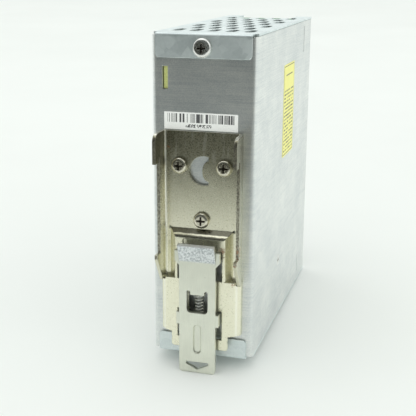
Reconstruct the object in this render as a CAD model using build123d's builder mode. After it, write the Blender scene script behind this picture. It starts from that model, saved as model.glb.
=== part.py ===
"""A slim DIN rail power supply with its rail bracket, latch, clamps and what the case holds inside.

Frame: the origin is the middle of the seat for a 35 mm rail. X runs across the width, +Y points
from the rear wall towards the rail, and +Z is up.
"""

from build123d import *
from math import atan, degrees
import os

os.makedirs("parts", exist_ok=True)

# Case
case_width = 40.0
case_height = 125.2
case_depth = 113.5
half_width = case_width / 2
top_z = case_height / 2
bottom_z = -case_height / 2
rail_standoff = 6.6
rear_y = -rail_standoff
front_y = rear_y - case_depth

# Sheet and board thicknesses
shell_sheet = 1.0
cover_sheet = 0.8
bracket_sheet = 1.2
latch_sheet = 1.5
board_sheet = 1.6
label_sheet = 0.1
gap = 0.1

# 35 mm top hat rail, and the hooks that hold it
rail_height = 35.0
rail_lip = 1.0
rail_slot = 1.5
slot_top_z = rail_height / 2 + gap
ear_depth = 5.0
ear_bottom_z = 15.7

# Fasteners
m3_shank = 1.45
m3_thread_hole = 1.5
m3_clear_hole = 1.7
pan_head = (3.1, 2.1)
cover_screw_head = (3.6, 2.3)

# Rail bracket
bracket_half_width = 15.95
bracket_top_z = 26.9
bracket_face_y = rear_y + bracket_sheet
raised_height = 3.0
raised_face_y = bracket_face_y + raised_height
channel_half_width = 9.8
channel_slope = 2.6
channel_top_z = -13.2
wide_top_z = -30.0
wide_half_width = 13.4
wide_bottom_z = -52.0
tongue_half_width = 11.3
tongue_bottom_z = -58.2
bracket_screw_places = [(-8.75, 13.9), (8.75, 13.9), (0.0, -6.9)]
window_inner_x = 6.6
window_outer_x = 8.9
relief_radius = 0.5

# Latch and its spring
latch_half_width = 7.2
latch_face_y = 0.9
latch_back_y = latch_face_y - latch_sheet
latch_bend_z = -21.6
latch_top_z = -15.0
latch_flare = 2.5
latch_bottom_z = bottom_z - 4.6
latch_travel = 5.0
spring_y = -2.65
spring_radius = 1.55
spring_wire = 0.3
spring_turns = 8
spring_top_z = -35.1
spring_bottom_z = -46.0

# Circuit boards
board_face_x = 13.9
board_back_x = board_face_x + board_sheet
board_rear_y = -9.6
board_front_y = -102.3
board_half_height = 58.0
board_tab_z = (42.2, 50.3)
front_board_y = (-104.3, -104.3 + board_sheet)
board_fixings = [(-13.5, -54.5), (-13.5, 54.5), (-94.0, -54.5), (-94.0, 54.5)]

# Terminal blocks, measured from their front face towards the rear
block_width = 25.4
block_height = 15.0
block_front_y = front_y + 0.5
block_depth = 15.2
block_outer_z = top_z - 1.0
output_poles = 4
input_poles = 3
clamp_travel = 2.8
clamp_wall = 1.0
clamp_half_height = 3.0
clamp_rest = 7.8
clamp_depth = 6.1
bar_depth = (9.1, 10.1)

# Controls on the front
control_z = 20.0
trimmer_x = -6.0
lamp_x = 6.0

# Snap arms of the front panel, and the slits in the side walls that they hold
slit_y = (-101.4, -100.6)
upper_slit_z = (47.9, 59.6)
lower_slit_z = (-58.0, -49.3)


def at_depth(y):
    """The plane across the case at depth y, with X to the right, Z up and -Y as its normal."""
    return Plane.XZ.offset(-y)


def at_side(x):
    """The plane parallel to the side walls at x, with Y to the right, Z up and +X as its normal."""
    return Plane.YZ.offset(x)


def at_level(z):
    """The level plane at height z."""
    return Plane.XY.offset(z)


def block(x, y, z, mode=Mode.ADD):
    """A box, with each side given as a (low, high) pair."""
    middle = [(low + high) / 2 for low, high in (x, y, z)]
    size = [high - low for low, high in (x, y, z)]
    with Locations(tuple(middle)):
        Box(*size, mode=mode)


def rod(axis, span, at, radius, mode=Mode.ADD):
    """A round bar along an axis over the span (low, high); at holds its other two coordinates."""
    middle = sum(span) / 2
    a, b = at
    centre = {"x": (middle, a, b), "y": (a, middle, b), "z": (a, b, middle)}[axis]
    turn = {"x": (0, 90, 0), "y": (90, 0, 0), "z": (0, 0, 0)}[axis]
    with Locations(Location(centre, turn)):
        Cylinder(radius, span[1] - span[0], mode=mode)


def folded_strip(points, thickness, side, radius):
    """The section of a bent sheet: one face follows the points, with rounded bends."""
    with BuildLine() as outline:
        FilletPolyline(*points, radius=radius)
        offset(amount=thickness, side=side)
    make_face(outline.edges())


def pan_screw(length, head=pan_head):
    """A pan head cross recess screw, head up, with its seat at the origin; head is (radius, height)."""
    head_radius, head_height = head
    with BuildPart() as screw:
        Cylinder(head_radius, head_height, align=(Align.CENTER, Align.CENTER, Align.MIN))
        fillet(screw.edges().sort_by(Axis.Z)[-1], radius=head_height * 0.62)
        with Locations((0, 0, head_height + 0.1)):
            for turn in (0, 90):
                Box(3.4, 0.75, 2.6, rotation=(0, 0, turn), mode=Mode.SUBTRACT)
            Cone(0.3, 1.1, 2.8, mode=Mode.SUBTRACT)
        Cylinder(m3_shank, length, align=(Align.CENTER, Align.CENTER, Align.MAX))
        chamfer(screw.edges().sort_by(Axis.Z)[0], length=0.4)
    return screw.part


def save(part, name):
    """Labels a finished piece and writes its file."""
    part.label = name
    export_step(part, f"parts/{name}.step")


# ---- Chassis shell: rear wall, side walls and front lips, bent from one sheet ----

shell_bottom = bottom_z + cover_sheet + gap
shell_height = case_height - 2 * (cover_sheet + gap)
lip_inner_x = 16.7
side_screw_y = -54.4
side_screw_z = -37.0
cover_screw_z = top_z - 5.1
bend_radius = 2.0

with BuildPart() as chassis_shell:
    with BuildSketch(at_level(shell_bottom)):
        folded_strip(
            [
                (-lip_inner_x, front_y),
                (-half_width, front_y),
                (-half_width, rear_y),
                (half_width, rear_y),
                (half_width, front_y),
                (lip_inner_x, front_y),
            ],
            shell_sheet,
            Side.RIGHT,
            bend_radius,
        )
    extrude(amount=shell_height)
    rear_wall = (rear_y - 2 * shell_sheet, rear_y + shell_sheet)
    # The rear wall stops short of the bends of both covers.
    for low, high in ((-top_z, shell_bottom + 0.5), (-shell_bottom - 0.5, top_z)):
        block((-18.4, 18.4), rear_wall, (low, high), mode=Mode.SUBTRACT)
    block((13.6, 15.7), rear_wall, (42.0, 50.5), mode=Mode.SUBTRACT)
    for x, z in [*bracket_screw_places, (0.0, cover_screw_z)]:
        rod("y", rear_wall, (x, z), m3_thread_hole, mode=Mode.SUBTRACT)
    for slit_z in (upper_slit_z, lower_slit_z):
        block((-half_width - 1, half_width + 1), slit_y, slit_z, mode=Mode.SUBTRACT)
    with Locations(Plane((-half_width, side_screw_y, side_screw_z), z_dir=(-1, 0, 0))):
        CounterSinkHole(m3_thread_hole, 2.5, depth=2 * shell_sheet)
save(chassis_shell.part, "chassis_shell")


# ---- Covers: perforated sheets with a rear flange over the rear wall ----

cover_half_width = half_width - 0.1
cover_front_y = front_y + 0.2
notch_half_width = 12.9
notch_rear_y = block_front_y + block_depth + gap
shoulder_y = rear_y - 3.0
hook_y = (front_y + 2.7, front_y + 3.5)
vent_width = 4.0
vent_length = 11.0
vent_pitch = 7.0
vent_row_pitch = 13.2
vent_rows = 7
first_vent_y = rear_y - 15.0


def cover(flange_height, flange_half_width, with_screw):
    """A cover as it lies on top of the case; the lower one is turned over afterwards."""
    plate_z = (top_z - cover_sheet, top_z)
    outer_y = rear_y + cover_sheet
    with BuildPart() as sheet:
        block((-cover_half_width, cover_half_width), (cover_front_y, shoulder_y), plate_z)
        with BuildSketch(at_side(-flange_half_width)):
            folded_strip(
                [(shoulder_y - 1, top_z), (outer_y, top_z), (outer_y, top_z - flange_height)],
                cover_sheet,
                Side.RIGHT,
                1.2,
            )
        extrude(amount=2 * flange_half_width)
        flange_corners = sheet.edges().filter_by(Axis.Y).group_by(Axis.Z)[0]
        fillet(flange_corners, radius=1.5)
        block(
            (-notch_half_width, notch_half_width),
            (cover_front_y - 1, notch_rear_y),
            (top_z - 2, top_z + 1),
            mode=Mode.SUBTRACT,
        )
        for side in (-1, 1):
            hook_x = sorted((side * 13.4, side * 17.0))
            block(hook_x, hook_y, (top_z - 5.0, top_z - cover_sheet))
        if with_screw:
            rod("y", (rear_y - 1, outer_y + 1), (0, cover_screw_z), m3_clear_hole, mode=Mode.SUBTRACT)
        with BuildSketch(at_level(top_z)):
            for row in range(vent_rows):
                count = 5 if row % 2 == 0 else 4
                with Locations((0, first_vent_y - row * vent_row_pitch)):
                    with GridLocations(vent_pitch, vent_row_pitch, count, 1):
                        SlotOverall(vent_length, vent_width, rotation=90)
        extrude(amount=-2 * cover_sheet, mode=Mode.SUBTRACT)
    return sheet.part


save(cover(8.9, 18.2, True), "top_cover")

with BuildPart() as bottom_cover:
    add(cover(8.2, 17.6, False))
    mirror(about=Plane.XY, mode=Mode.REPLACE)
save(bottom_cover.part, "bottom_cover")


# ---- Front panel: moulded plate with windows for the blocks and snap arms along the sides ----

panel_front = (front_y, front_y + 1.1)
panel_back = (front_y + 1.1, front_y + 2.5)
arm_x = (17.6, 18.85)

with BuildPart() as front_panel:
    block((-arm_x[1], arm_x[1]), panel_back, (-61.6, 61.6))
    chamfer(front_panel.edges().filter_by(Axis.Z).group_by(Axis.Y)[0], length=0.7)
    block((-16.55, 16.55), panel_front, (-61.6, 61.6))
    window_half_width = block_width / 2 + 0.15
    for side in (-1, 1):
        window_z = sorted((side * (block_outer_z - block_height - 0.15), side * (top_z + 1)))
        window_y = (front_y - 1, panel_back[1] + 1)
        block((-window_half_width, window_half_width), window_y, window_z, mode=Mode.SUBTRACT)
        for low, high in (upper_slit_z, lower_slit_z):
            arm = sorted((side * arm_x[0], side * arm_x[1]))
            lug = sorted((side * arm_x[1], side * (half_width - 0.3)))
            block(arm, (panel_back[1], slit_y[1] + 1.2), (low + 0.3, high - 0.3))
            block(lug, (slit_y[0] + gap, slit_y[1] - gap), (low + 0.5, high - 0.5))
    rod("y", (front_y - 1, panel_back[1] + 1), (trimmer_x, control_z), 2.0, mode=Mode.SUBTRACT)
    rod("y", (front_y - 1, panel_back[1] + 1), (lamp_x, control_z), 1.55, mode=Mode.SUBTRACT)
    with BuildSketch(at_depth(front_y)):
        with Locations((0, -5)):
            RectangleRounded(24, 34, 2)
    extrude(amount=-0.3, mode=Mode.SUBTRACT)
save(front_panel.part, "front_panel")


# ---- Rail bracket: pressed plate with a raised centre and hooked side flanges ----

shoulder_z = -19.7
taper_bottom_z = wide_top_z - bracket_sheet

with BuildPart() as rail_bracket:
    # The plate and its two flanges are one channel section, cut to the outline of the flanges.
    with BuildSketch(at_level(taper_bottom_z)):
        folded_strip(
            [
                (-bracket_half_width, ear_depth + 1),
                (-bracket_half_width, rear_y),
                (bracket_half_width, rear_y),
                (bracket_half_width, ear_depth + 1),
            ],
            bracket_sheet,
            Side.LEFT,
            2.4,
        )
    extrude(amount=bracket_top_z - taper_bottom_z)
    with BuildSketch(at_side(-case_width)) as flange_outline:
        with BuildLine():
            Polyline(
                (rear_y, taper_bottom_z),
                (rear_y, bracket_top_z),
                (ear_depth, bracket_top_z),
                (ear_depth, ear_bottom_z),
                (rail_slot, ear_bottom_z),
                (rail_slot, slot_top_z),
                (0, slot_top_z),
                (0, shoulder_z),
                (3.6, shoulder_z),
                (3.6, shoulder_z - 1.6),
                (raised_face_y, taper_bottom_z),
                close=True,
            )
        make_face()
        corner = flange_outline.vertices().sort_by_distance((ear_depth, bracket_top_z))[0]
        fillet(corner, radius=3.2)
    extrude(amount=2 * case_width, mode=Mode.INTERSECT)

    # The centre is pressed outwards as a pan with sloping walls at its top and sides.
    slope_angle = degrees(atan(channel_slope / raised_height))
    pan_width = 2 * (channel_half_width + channel_slope)
    pan_top_z = channel_top_z + channel_slope
    pan_height = pan_top_z - taper_bottom_z + 8
    for face_y, mode in ((bracket_face_y, Mode.ADD), (rear_y, Mode.SUBTRACT)):
        with BuildPart(mode=Mode.PRIVATE) as pan:
            seat = Plane((0, face_y, pan_top_z - pan_height / 2), x_dir=(-1, 0, 0), z_dir=(0, 1, 0))
            with BuildSketch(seat):
                Rectangle(pan_width, pan_height)
            extrude(amount=raised_height, taper=slope_angle)
            fillet(pan.faces().sort_by(Axis.Y)[-1].edges(), radius=0.9)
            below = (taper_bottom_z - 20, taper_bottom_z)
            block((-case_width, case_width), (rear_y - 1, raised_face_y + 1), below, mode=Mode.SUBTRACT)
        add(pan.part, mode=mode)

    # Lower down the raised part is as wide as the bracket.
    with BuildSketch(at_level(wide_bottom_z)):
        folded_strip(
            [
                (-bracket_half_width, rear_y),
                (-bracket_half_width, raised_face_y - 2.5),
                (-wide_half_width, raised_face_y),
                (wide_half_width, raised_face_y),
                (bracket_half_width, raised_face_y - 2.5),
                (bracket_half_width, rear_y),
            ],
            bracket_sheet,
            Side.RIGHT,
            1.5,
        )
    extrude(amount=wide_top_z - wide_bottom_z)
    for side in (-1, 1):
        cap_x = sorted((side * channel_half_width, side * (wide_half_width + 0.4)))
        block(cap_x, (rear_y, raised_face_y - 0.4), (taper_bottom_z, wide_top_z))
    with BuildSketch(at_depth(raised_face_y)) as tongue_outline:
        with BuildLine():
            Polyline(
                (-12.4, wide_bottom_z + 0.1),
                (-12.4, wide_bottom_z - 0.3),
                (-tongue_half_width, wide_bottom_z - 0.3),
                (-tongue_half_width, tongue_bottom_z),
                (tongue_half_width, tongue_bottom_z),
                (tongue_half_width, wide_bottom_z - 0.3),
                (12.4, wide_bottom_z - 0.3),
                (12.4, wide_bottom_z + 0.1),
                close=True,
            )
        make_face()
        fillet(tongue_outline.vertices().group_by(Axis.Y)[0], radius=1.0)
    extrude(amount=bracket_sheet)

    # Windows for the latch and its spring, and the seat that the spring stands on.
    through = (rear_y - 1, raised_face_y + 1)
    # A coined step gives the latch's lip room.
    block((-6.7, 6.7), (raised_face_y - 0.7, raised_face_y + 1), (-18.0, -14.1), mode=Mode.SUBTRACT)
    for side in (-1, 1):
        window_x = sorted((side * window_inner_x, side * window_outer_x))
        block(window_x, through, (wide_top_z, -18.0), mode=Mode.SUBTRACT)
        block(window_x, through, (-54.0, -42.2), mode=Mode.SUBTRACT)
    block((-4.5, 4.5), through, (spring_bottom_z, -33.4), mode=Mode.SUBTRACT)
    seat_z = (spring_bottom_z - bracket_sheet, spring_bottom_z)
    block((-2.6, 2.6), (rear_y + 0.8, raised_face_y), seat_z)

    # Round relief holes at the ends of bends and cuts.
    reliefs = [(12.6, pan_top_z), (14.6, taper_bottom_z + 0.3), (tongue_half_width + 0.3, -54.6)]
    for x, z in reliefs:
        for side in (-1, 1):
            rod("y", through, (side * x, z), relief_radius, mode=Mode.SUBTRACT)

    # A round hole with one flat side that has a rounded tab, and the three screw holes.
    with BuildSketch(at_depth(bracket_face_y + 1)):
        with Locations((-0.65, 12.2)):
            Circle(5.6)
        with Locations((-7.5, 12.2)):
            Rectangle(10.0, 20.0, mode=Mode.SUBTRACT)
        with Locations((-2.5, 12.0)):
            Ellipse(2.4, 3.9, mode=Mode.SUBTRACT)
        with Locations(*bracket_screw_places):
            Circle(m3_clear_hole)
    extrude(amount=bracket_sheet + 2, mode=Mode.SUBTRACT)
save(rail_bracket.part, "rail_bracket")


# ---- Screws on the outside ----

with BuildPart() as bracket_screws:
    for x, z in bracket_screw_places:
        seat = Plane((x, bracket_face_y, z), x_dir=(1, 0, 0), z_dir=(0, 1, 0))
        add(seat.location * pan_screw(6.0))
save(bracket_screws.part, "bracket_screws")

with BuildPart() as cover_screw:
    seat = Plane((0, rear_y + cover_sheet, cover_screw_z), x_dir=(1, 0, 0), z_dir=(0, 1, 0))
    add(seat.location * pan_screw(6.0, cover_screw_head))
save(cover_screw.part, "cover_screw")

with BuildPart() as side_screw:
    rod("x", (-half_width, -half_width + 5.5), (side_screw_y, side_screw_z), m3_shank)
    with Locations(Location((-half_width + 0.45, side_screw_y, side_screw_z), (0, 90, 0))):
        Cone(2.4, 1.5, 0.9)
    for slot_y, slot_z in ((2.8, 0.6), (0.6, 2.8)):
        with Locations((-half_width, side_screw_y, side_screw_z)):
            Box(1.6, slot_y, slot_z, mode=Mode.SUBTRACT)
save(side_screw.part, "side_screw")


# ---- Labels ----

with BuildPart() as barcode_label:
    block((-13.3, 15.1), (rear_y, rear_y + label_sheet), (27.2, 33.7))
save(barcode_label.part, "barcode_label")

with BuildPart() as side_label:
    block((-half_width - label_sheet, -half_width), (-79.0, -56.7), (7.5, 46.4))
    fillet(side_label.edges().filter_by(Axis.X), radius=1.0)
save(side_label.part, "side_label")


# ---- Rail latch: flat plate that slides down against its spring ----

wing_x = 8.9
leg_x = (7.0, 8.4)
foot_y = (-5.4, -4.2)
rib_depth = 0.7
rib_length = 12.0
rib_width = 3.2
rib_middle_z = -53.2

with BuildPart() as rail_latch:
    with BuildSketch(at_side(-latch_half_width)):
        folded_strip(
            [
                (latch_face_y, latch_bend_z - 6),
                (latch_face_y, latch_bend_z),
                (latch_face_y + latch_flare, latch_top_z),
            ],
            latch_sheet,
            Side.LEFT,
            2.0,
        )
    extrude(amount=2 * latch_half_width)
    with BuildSketch(at_depth(latch_face_y)) as latch_outline:
        with BuildLine():
            Polyline(
                (-latch_half_width, latch_bottom_z),
                (-latch_half_width, latch_bend_z - 1.9),
                (-wing_x, latch_bend_z),
                (-wing_x, latch_bend_z + 4.0),
                (-latch_half_width - 0.1, latch_bend_z + 4.0),
                (-latch_half_width - 0.1, latch_bend_z - 0.6),
                (latch_half_width + 0.1, latch_bend_z - 0.6),
                (latch_half_width + 0.1, latch_bend_z + 4.0),
                (wing_x, latch_bend_z + 4.0),
                (wing_x, latch_bend_z),
                (latch_half_width, latch_bend_z - 1.9),
                (latch_half_width, latch_bottom_z),
                close=True,
            )
        make_face()
        fillet(latch_outline.vertices().group_by(Axis.Y)[0], radius=1.2)
        # Window for the spring, with a notch beside each edge of its tab.
        with BuildSketch(mode=Mode.PRIVATE) as window:
            with Locations((0, -38.75)):
                Rectangle(8.4, 7.3)
            fillet(window.vertices().group_by(Axis.Y)[0], radius=1.6)
            for side in (-1, 1):
                with Locations((side * 3.5, -35.3)):
                    SlotOverall(3.8, 1.4, rotation=90)
        add(window.sketch, mode=Mode.SUBTRACT)
        # Hole for a screwdriver tip.
        with BuildLine():
            Polyline(
                (-4.5, -62.8),
                (4.5, -62.8),
                (4.5, -63.8),
                (0.0, -66.0),
                (-4.5, -63.8),
                close=True,
            )
        make_face(mode=Mode.SUBTRACT)
    extrude(amount=latch_sheet)
    # Pressed rib that keeps the plate off the bracket.
    with BuildSketch(at_depth(latch_back_y)):
        with Locations((0, rib_middle_z)):
            SlotOverall(rib_length + 1.2, rib_width + 1.4, rotation=90)
    extrude(amount=rib_depth)
    with BuildSketch(at_depth(latch_face_y)):
        with Locations((0, rib_middle_z)):
            SlotOverall(rib_length, rib_width, rotation=90)
    extrude(amount=rib_depth, taper=30, mode=Mode.SUBTRACT)
    # Tab that presses on the spring, and four legs that reach through the bracket's windows.
    block((-2.6, 2.6), (-5.4, latch_back_y), (spring_top_z, spring_top_z + 1.2))
    for side in (-1, 1):
        for leg_z in ((-21.4, -18.2), (-47.6, -42.6)):
            leg = sorted((side * leg_x[0], side * leg_x[1]))
            foot = sorted((side * 4.6, side * leg_x[1]))
            block(leg, (foot_y[0], latch_face_y - 0.2), leg_z)
            block(foot, foot_y, leg_z)
save(rail_latch.part, "rail_latch")

with BuildPart() as latch_spring:
    spring_length = spring_top_z - spring_bottom_z - 2 * spring_wire - 0.04
    spring_start = (0, spring_y, spring_bottom_z + spring_wire + 0.02)
    with BuildLine() as coil:
        Helix(spring_length / spring_turns, spring_length, spring_radius, center=spring_start)
    with BuildSketch(Plane(coil.line @ 0, z_dir=coil.line % 0)):
        Circle(spring_wire)
    sweep(path=coil.line, is_frenet=True)
save(latch_spring.part, "latch_spring")


# ---- Circuit boards, spacers and insulation ----

with BuildPart() as main_board:
    board_x = (board_face_x, board_back_x)
    block(board_x, (board_front_y, board_rear_y), (-board_half_height, board_half_height))
    block(board_x, (board_rear_y, rear_y - shell_sheet - gap), board_tab_z)
    for y, z in board_fixings:
        rod("x", (board_face_x - 1, board_back_x + 1), (y, z), 1.6, mode=Mode.SUBTRACT)
save(main_board.part, "main_board")

with BuildPart() as board_spacers:
    for y, z in board_fixings:
        rod("x", (board_back_x, half_width - shell_sheet), (y, z), 3.0)
        rod("x", (board_back_x, half_width - shell_sheet), (y, z), m3_thread_hole, mode=Mode.SUBTRACT)
save(board_spacers.part, "board_spacers")

with BuildPart() as board_screws:
    for y, z in board_fixings:
        seat = Plane((board_face_x, y, z), x_dir=(0, 1, 0), z_dir=(-1, 0, 0))
        add(seat.location * pan_screw(4.8))
save(board_screws.part, "board_screws")

with BuildPart() as insulating_sheet:
    sheet_x = (half_width - shell_sheet - 0.4, half_width - shell_sheet - 0.05)
    block(sheet_x, (-98.5, -8.7), (-59.0, 59.0))
    for y, z in board_fixings:
        rod("x", (sheet_x[0] - 1, sheet_x[1] + 1), (y, z), 3.3, mode=Mode.SUBTRACT)
save(insulating_sheet.part, "insulating_sheet")


# ---- Terminal blocks: housings, contact bars, clamp screws and rising clamps ----

screw_inset = 6.2
pin_half_width = 0.6


def pole_places(poles):
    """The X of each pole's centre, from -X to +X."""
    pitch = block_width / poles
    return [(index - (poles - 1) / 2) * pitch for index in range(poles)]


def depth(low, high):
    """A Y span measured from the front face of the terminal block."""
    return (block_front_y + low, block_front_y + high)


def upright(direction, inner, outer):
    """A Z span measured from the screw's axis; outer is towards the wire entry."""
    axis_z = direction * (block_outer_z - screw_inset)
    return tuple(sorted((axis_z + direction * inner, axis_z + direction * outer)))


def terminal_block(poles, direction):
    """The moulded housing, with a screw bore, a wire entry and a clamp space for each pole."""
    half = block_width / 2
    axis_z = direction * (block_outer_z - screw_inset)
    with BuildPart() as housing:
        inner = screw_inset - block_height
        block((-half, half), depth(0, block_depth), upright(direction, inner, screw_inset))
        front_edges = housing.edges().filter_by(Axis.X).group_by(Axis.Y)[0]
        chamfer(front_edges, length=0.6)
        for x in pole_places(poles):
            rod("y", depth(-1, 3.2), (x, axis_z), 2.45, mode=Mode.SUBTRACT)
            rod("y", depth(3, 5), (x, axis_z), 1.6, mode=Mode.SUBTRACT)
            clamp_space = upright(direction, -clamp_half_height - 0.2, clamp_half_height + 0.2)
            block((x - 2.55, x + 2.55), depth(4.2, 14.2), clamp_space, mode=Mode.SUBTRACT)
            entry = upright(direction, clamp_half_height, screw_inset + 1)
            block((x - 1.6, x + 1.6), depth(10.2, 13.1), entry, mode=Mode.SUBTRACT)
            bar_space = upright(direction, -5.2, 0)
            block((x - 1.7, x + 1.7), depth(9.0, 10.2), bar_space, mode=Mode.SUBTRACT)
            pin_space = upright(direction, -5.1, -3.9)
            block((x - 0.7, x + 0.7), depth(9.0, 16), pin_space, mode=Mode.SUBTRACT)
    return housing.part


def contact_bars(poles, direction):
    """The fixed blades that the clamps press wires against, each with a pin to the board."""
    with BuildPart() as bars:
        for x in pole_places(poles):
            block((x - 1.5, x + 1.5), depth(*bar_depth), upright(direction, -5.0, 3.0))
            pin = (x - pin_half_width, x + pin_half_width)
            pin_depth = (block_front_y + bar_depth[0], front_board_y[1] + 1.0)
            block(pin, pin_depth, upright(direction, -5.0, -4.0))
    return bars.part


def clamp_screw(x, direction):
    """A slotted cheese head screw that turns in place in its housing."""
    axis_z = direction * (block_outer_z - screw_inset)
    with BuildPart() as screw:
        rod("y", depth(1.0, 3.0), (x, axis_z), 2.25)
        fillet(screw.edges().filter_by(GeomType.CIRCLE).sort_by(Axis.Y)[0], radius=0.4)
        rod("y", depth(3.0, 8.9), (x, axis_z), 1.5)
        block((x - 3, x + 3), depth(0.5, 2.0), (axis_z - 0.4, axis_z + 0.4), mode=Mode.SUBTRACT)
    return screw.part


def clamp_cage(x, direction):
    """A square ring that the screw draws forward, so that its far wall presses on the wire."""
    axis_z = direction * (block_outer_z - screw_inset)
    outer = depth(clamp_rest, clamp_rest + clamp_depth)
    inner = depth(clamp_rest + clamp_wall, clamp_rest + clamp_depth - 0.8)
    height = (axis_z - clamp_half_height, axis_z + clamp_half_height)
    with BuildPart() as cage:
        block((x - 2.4, x + 2.4), outer, height)
        fillet(cage.edges().filter_by(Axis.Z), radius=0.5)
        block((x - 1.65, x + 1.65), inner, (height[0] - 1, height[1] + 1), mode=Mode.SUBTRACT)
        rod("y", depth(clamp_rest - 1, clamp_rest + clamp_wall + 1), (x, axis_z), 1.55, mode=Mode.SUBTRACT)
    return cage.part


for group, poles, direction in (("output", output_poles, 1), ("input", input_poles, -1)):
    save(terminal_block(poles, direction), f"{group}_block")
    save(contact_bars(poles, direction), f"{group}_contacts")
    for number, x in enumerate(pole_places(poles), start=1):
        save(clamp_screw(x, direction), f"{group}_screw_{number}")
        save(clamp_cage(x, direction), f"{group}_clamp_{number}")

with BuildPart() as front_board:
    block((-13.5, 13.3), front_board_y, (-board_half_height, board_half_height))
    for poles, direction in ((output_poles, 1), (input_poles, -1)):
        for x in pole_places(poles):
            hole_z = upright(direction, -5.1, -3.9)
            hole_y = (front_board_y[0] - 1, front_board_y[1] + 1)
            block((x - 0.7, x + 0.7), hole_y, hole_z, mode=Mode.SUBTRACT)
save(front_board.part, "front_board")


# ---- Indicator and voltage trimmer ----

trimmer_front_y = front_board_y[0] - 5.0

with BuildPart() as light_pipe:
    rod("y", (front_y - 0.4, front_board_y[0]), (lamp_x, control_z), 1.5)
    fillet(light_pipe.edges().filter_by(GeomType.CIRCLE).sort_by(Axis.Y)[0], radius=1.0)
    rod("y", (front_board_y[0] - 2.0, front_board_y[0]), (lamp_x, control_z), 2.4)
save(light_pipe.part, "light_pipe")

with BuildPart() as trimmer_body:
    body_z = (control_z - 3.3, control_z + 3.3)
    block((trimmer_x - 3.3, trimmer_x + 3.3), (trimmer_front_y, front_board_y[0]), body_z)
    fillet(trimmer_body.edges().filter_by(Axis.Y), radius=0.5)
    rod("y", (trimmer_front_y - 1, trimmer_front_y + 3), (trimmer_x, control_z), 1.65, mode=Mode.SUBTRACT)
save(trimmer_body.part, "trimmer_body")

with BuildPart() as trimmer_shaft:
    rod("y", (front_y + 0.6, trimmer_front_y + 2.7), (trimmer_x, control_z), 1.6)
    chamfer(trimmer_shaft.edges().filter_by(GeomType.CIRCLE).sort_by(Axis.Y)[0], length=0.2)
    slot_z = (control_z - 0.3, control_z + 0.3)
    block((trimmer_x - 2, trimmer_x + 2), (front_y, front_y + 1.5), slot_z, mode=Mode.SUBTRACT)
save(trimmer_shaft.part, "trimmer_shaft")


# ---- Mains side: fuse, thermistor, filter, rectifier and bulk capacitor ----

with BuildPart() as fuse:
    rod("z", (-56.0, -36.0), (10.8, -78.0), 2.6)
    for cap_z in ((-56.0, -50.5), (-41.5, -36.0)):
        rod("z", cap_z, (10.8, -78.0), 2.9)
save(fuse.part, "fuse")

with BuildPart() as thermistor:
    rod("y", (-60.5, -55.5), (6.5, -47.5), 6.5)
    fillet(thermistor.edges().filter_by(GeomType.CIRCLE), radius=1.6)
    for z in (-50.0, -45.0):
        rod("x", (9.0, board_face_x), (-58.0, z), 0.5)
save(thermistor.part, "thermistor")

with BuildPart() as line_capacitor:
    block((-1.0, board_face_x), (-72.0, -63.5), (-56.0, -39.0))
    fillet(line_capacitor.edges().filter_by(Axis.X), radius=1.0)
save(line_capacitor.part, "line_capacitor")


def toroid_ring(inner, outer, height, angle, plane):
    """A ring of rectangular section turned through an angle about the plane's Y axis."""
    with BuildPart() as ring:
        with BuildSketch(plane) as section:
            with Locations(((inner + outer) / 2, 0)):
                Rectangle(outer - inner, height)
            fillet(section.vertices(), radius=0.9)
        revolve(axis=Axis(plane.origin, plane.y_dir), revolution_arc=angle)
    return ring.part


def toroid_winding(core_size, coat, angle, plane, starts):
    """Wound sectors that wrap the ring's section, with the core's own room left free."""
    inner, outer, height = core_size
    with BuildPart() as winding:
        for start in starts:
            sector = toroid_ring(inner - coat, outer + coat, height + 2 * coat, angle, plane)
            add(sector.rotate(Axis(plane.origin, plane.y_dir), start))
        room = gap / 2
        free = toroid_ring(inner - room, outer + room, height + 2 * room, 360, plane)
        add(free, mode=Mode.SUBTRACT)
    return winding.part


line_core = (6.2, 10.4, 8.6)
line_plane = Plane((1.8, -89.0, -39.4), x_dir=(1, 0, 0), z_dir=(0, 0, 1))
save(toroid_ring(*line_core, 360, line_plane), "line_choke_core")
save(toroid_winding(line_core, 1.4, 130, line_plane, (25, 205)), "line_choke_winding")

with BuildPart() as bulk_capacitor:
    rod("x", (-16.0, board_face_x), (-84.0, -10.0), 12.5)
    fillet(bulk_capacitor.edges().filter_by(GeomType.CIRCLE), radius=1.2)
    with Locations(Location((board_face_x - 3.5, -84.0, -10.0), (0, 90, 0))):
        Torus(12.9, 0.9, mode=Mode.SUBTRACT)
save(bulk_capacitor.part, "bulk_capacitor")


# ---- Semiconductors on their heatsinks ----

pad_sheet = 0.25
tab_hole_x = -9.5
primary_web_z = (-33.0, -30.0)
output_web_z = (26.0, 29.0)
transistor_y = -48.0
output_device_y = (-28.0, -46.0)


def power_device(y, seat_z):
    """A flat-tab transistor standing on the board, its tab down on a heatsink at seat_z."""
    with BuildPart() as device:
        block((-6.0, 8.5), (y - 5.1, y + 5.1), (seat_z, seat_z + 4.4))
        chamfer(device.faces().sort_by(Axis.Z)[-1].edges(), length=0.4)
        block((-12.4, -5.0), (y - 5.0, y + 5.0), (seat_z, seat_z + 1.3))
        rod("z", (seat_z - 1, seat_z + 2), (tab_hole_x, y), m3_clear_hole, mode=Mode.SUBTRACT)
        for lead in (-2.54, 0.0, 2.54):
            block((8.0, board_face_x), (y + lead - 0.4, y + lead + 0.4), (seat_z + 2.2, seat_z + 2.7))
    return device.part


primary_seat = primary_web_z[1] + pad_sheet
output_seat = output_web_z[1] + pad_sheet
save(power_device(transistor_y, primary_seat), "switching_transistor")

with BuildPart() as output_rectifiers:
    for y in output_device_y:
        add(power_device(y, output_seat))
save(output_rectifiers.part, "output_rectifiers")

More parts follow.
